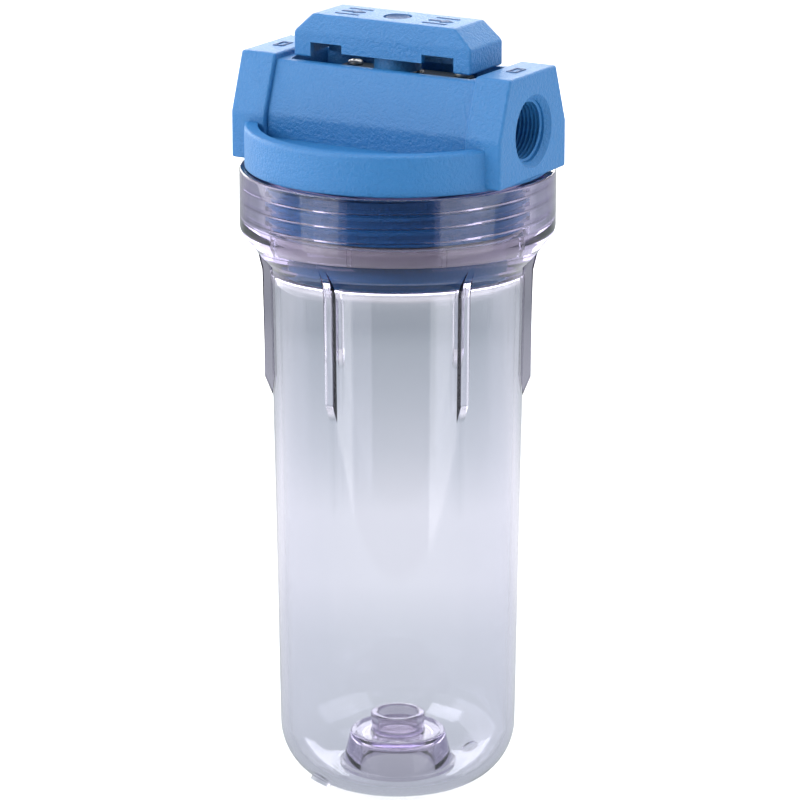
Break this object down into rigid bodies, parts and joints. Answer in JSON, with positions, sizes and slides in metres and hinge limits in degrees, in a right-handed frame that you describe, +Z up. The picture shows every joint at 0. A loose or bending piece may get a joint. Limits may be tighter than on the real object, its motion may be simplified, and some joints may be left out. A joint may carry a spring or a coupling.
{
  "type": "cartridge filter housing",
  "caption": "Upright water filter housing: a blue head with side ports and a turning bypass handle, over a clear ribbed screw-on sump.",
  "frame": {"origin": "centre of the sump's flat underside, where the housing stands", "axes": "+Z up along the sump's axis, +X through the ports from inlet to outlet, -Y to the front"},
  "size_m": [0.13, 0.13, 0.3262],
  "materials": {
    "blue_plastic": "fine grained moulding",
    "clear_plastic": "polished, clear",
    "rubber": "moulded",
    "grey_silicone": "moulded",
    "natural_plastic": "moulded",
    "valve_plastic": "moulded",
    "stainless": "plain"
  },
  "bodies": {
    "head": {"head_body": "blue_plastic", "inlet_seal": "rubber", "outlet_seal": "rubber", "stem_oring": "rubber", "valve_bonnet": "valve_plastic", "bonnet_screw_1": "stainless", "bonnet_screw_2": "stainless", "bonnet_screw_3": "stainless", "bonnet_screw_4": "stainless", "flow_divider": "natural_plastic", "divider_screw_1": "stainless", "divider_screw_2": "stainless", "divider_screw_3": "stainless"},
    "valve": {"valve_rotor": "natural_plastic", "rotor_oring": "rubber", "handle": "blue_plastic", "handle_cap": "blue_plastic", "handle_screw": "stainless", "handle_washer": "stainless"},
    "sump_seal": {"sump_oring": "grey_silicone"},
    "sump": {"sump": "clear_plastic"}
  },
  "joints": [
    {"name": "valve_turn", "type": "hinge", "parent": "head", "child": "valve", "pos_m": [0, 0, 0.29], "axis": [0, 0, 1], "range_deg": [0, 90]},
    {"name": "sump_drop", "type": "slide", "parent": "head", "child": "sump_seal", "axis": [0, 0, -1], "range_m": [0, 0.0217]},
    {"name": "sump_turn", "type": "hinge", "parent": "sump_seal", "child": "sump", "pos_m": [0, 0, 0.25], "axis": [0, 0, -1], "range_deg": [0, 1296]}
  ],
  "couplings": [
    {"joint": "sump_drop", "follows": "sump_turn", "m_per_rad": 0.00095493}
  ]
}
